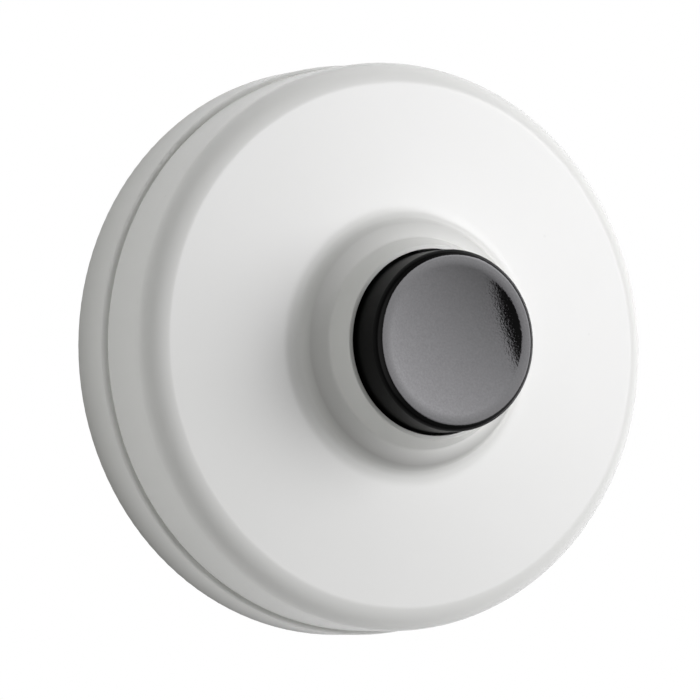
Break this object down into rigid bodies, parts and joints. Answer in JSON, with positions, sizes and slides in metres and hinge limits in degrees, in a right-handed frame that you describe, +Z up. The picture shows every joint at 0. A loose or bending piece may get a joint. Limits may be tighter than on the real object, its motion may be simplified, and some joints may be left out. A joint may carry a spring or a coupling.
{
  "type": "doorbell push button",
  "caption": "Round surface-mounted bell push: white moulded base and screw-on cover, black dished button in a raised collar, leaf contact and terminals inside.",
  "frame": {"origin": "centre of the back, on the wall, midway between the fixing holes", "axes": "+Z up, +Y into the wall along the button's axis, so that the front faces -Y"},
  "size_m": [0.0658, 0.0293, 0.0658],
  "materials": {
    "white_moulding": "polished thermoset moulding",
    "black_moulding": "satin gloss thermoset moulding",
    "spring_bronze": "rolled strip",
    "contact_brass": "stamped, satin",
    "contact_silver": "silver, bright",
    "screw_nickel": "nickel plated, turned"
  },
  "bodies": {
    "base": {"base": "white_moulding", "contact_spring": "spring_bronze", "contact_strip": "contact_brass", "fixed_contact": "contact_silver", "clamp_washers": "contact_brass", "terminal_screws": "screw_nickel", "terminal_nuts": "contact_brass"},
    "cover": {"cover": "white_moulding"},
    "button": {"push_button": "black_moulding", "moving_contact": "contact_silver"}
  },
  "joints": [
    {"name": "cover_lift", "type": "slide", "parent": "base", "child": "cover", "axis": [0, -1, 0], "range_m": [0, 0.04]},
    {"name": "button_press", "type": "slide", "parent": "base", "child": "button", "axis": [0, 1, 0], "range_m": [0, 0.002], "stiffness_N_per_m": 1200, "springref_m": -0.0015, "deforming": ["contact_spring"]}
  ]
}
